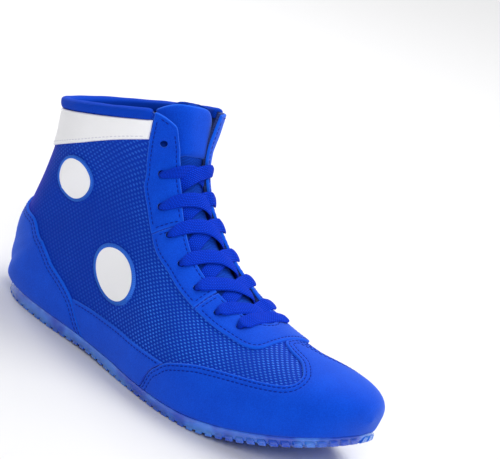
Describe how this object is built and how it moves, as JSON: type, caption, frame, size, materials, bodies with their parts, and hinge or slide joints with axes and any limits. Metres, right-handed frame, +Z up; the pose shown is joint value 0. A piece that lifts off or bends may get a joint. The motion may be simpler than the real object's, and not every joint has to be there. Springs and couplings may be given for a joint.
{
  "type": "wrestling shoe",
  "caption": "High-topped right wrestling shoe with suede overlays, mesh sides, a laced throat, a bound collar and a thin lugged rubber sole.",
  "frame": {"origin": "middle of the shoe's box, on the floor", "axes": "+X to the toe, +Y to the medial side, +Z up"},
  "size_m": [0.2846, 0.0984, 0.1572],
  "materials": {
    "sole_rubber": "slightly translucent blue rubber, satin",
    "lining": "dark knitted lining",
    "mesh_cloth": "woven mesh with small raised lozenges",
    "tongue_cloth": "soft padded cloth",
    "suede": "napped suede",
    "white_leather": "smooth white synthetic leather",
    "binding": "soft padded binding",
    "lace": "flat woven lace"
  },
  "bodies": {
    "root": {"outsole": "sole_rubber", "insole": "lining", "upper": "mesh_cloth", "tongue": "tongue_cloth", "toe_cap": "suede", "heel_counter": "suede", "side_strip_lateral": "suede", "side_strip_medial": "suede", "eyestay_top_lateral": "suede", "eyestay_top_medial": "suede", "eyestay_middle_lateral": "suede", "eyestay_middle_medial": "suede", "eyestay_front": "suede", "collar_band": "white_leather", "collar_binding": "binding", "lace": "lace", "badge_round": "white_leather", "badge_oval": "white_leather"}
  },
  "joints": []
}
